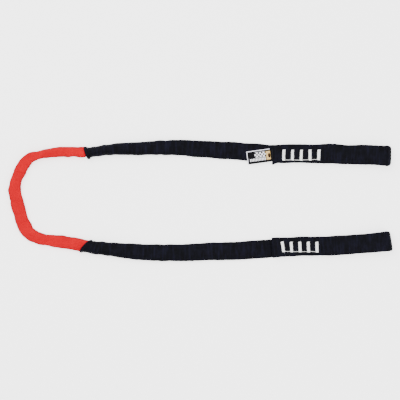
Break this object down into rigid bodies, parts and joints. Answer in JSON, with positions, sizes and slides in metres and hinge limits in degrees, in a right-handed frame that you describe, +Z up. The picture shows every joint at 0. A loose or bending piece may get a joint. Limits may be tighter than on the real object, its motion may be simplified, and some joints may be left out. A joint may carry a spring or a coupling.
{
  "type": "round sling",
  "caption": "Eye-and-eye textile sling laid in a U: yarn core in a red woven cover, black webbing sleeves and flat sewn eyes for lifting or anchoring.",
  "frame": {"origin": "on the ground under the middle of the sling's bounding box, as it lies flat in a U", "axes": "+X along the legs towards the eyes, +Y towards the leg with the label, +Z up"},
  "size_m": [0.5676, 0.1786, 0.0174],
  "materials": {
    "red_cover": "woven polyester, matte",
    "black_webbing": "woven nylon tubular webbing, low sheen",
    "core_yarn": "parallel polyester yarn, untwisted",
    "sewing_thread": "bonded polyester thread, satin",
    "woven_label": "damask woven, low sheen"
  },
  "bodies": {
    "bend": {"bend_cover": "red_cover", "bend_yarns": "core_yarn"},
    "upper_leg": {"upper_cover": "red_cover", "upper_yarns": "core_yarn", "upper_sleeve": "black_webbing", "upper_sleeve_hem": "black_webbing"},
    "upper_eye": {"upper_eye_web": "black_webbing", "upper_eye_yarns": "core_yarn", "upper_bar_tack_1": "sewing_thread", "upper_bar_tack_2": "sewing_thread", "upper_bar_tack_3": "sewing_thread", "upper_bar_tack_4": "sewing_thread", "upper_bar_tack_5": "sewing_thread", "upper_jump_thread": "sewing_thread", "label_sewn_edge": "woven_label"},
    "lower_leg": {"lower_cover": "red_cover", "lower_yarns": "core_yarn", "lower_sleeve": "black_webbing", "lower_sleeve_hem": "black_webbing"},
    "lower_eye": {"lower_eye_web": "black_webbing", "lower_eye_yarns": "core_yarn", "lower_bar_tack_1": "sewing_thread", "lower_bar_tack_2": "sewing_thread", "lower_bar_tack_3": "sewing_thread", "lower_bar_tack_4": "sewing_thread", "lower_bar_tack_5": "sewing_thread", "lower_jump_thread": "sewing_thread"},
    "label": {"label": "woven_label"}
  },
  "joints": [
    {"name": "upper_leg_swing", "type": "hinge", "parent": "bend", "child": "upper_leg", "pos_m": [-0.2569, 0.0624, 0.0087], "axis": [0, 0, 1], "range_deg": [-4, 80]},
    {"name": "upper_eye_flex", "type": "hinge", "parent": "upper_leg", "child": "upper_eye", "pos_m": [0.059, 0.0722, 0.0028], "axis": [-0.0262, -0.9997, 0], "range_deg": [-90, 90]},
    {"name": "lower_leg_swing", "type": "hinge", "parent": "bend", "child": "lower_leg", "pos_m": [-0.2549, -0.0504, 0.0087], "axis": [0, 0, -1], "range_deg": [-4, 80]},
    {"name": "lower_eye_flex", "type": "hinge", "parent": "lower_leg", "child": "lower_eye", "pos_m": [0.059, -0.0741, 0.0028], "axis": [0.061, -0.9981, 0], "range_deg": [-90, 90]},
    {"name": "label_flip", "type": "hinge", "parent": "upper_eye", "child": "label", "pos_m": [0.10412, 0.06842, 0.0056], "axis": [-0.0958, 0.9954, 0], "range_deg": [0, 90]}
  ]
}
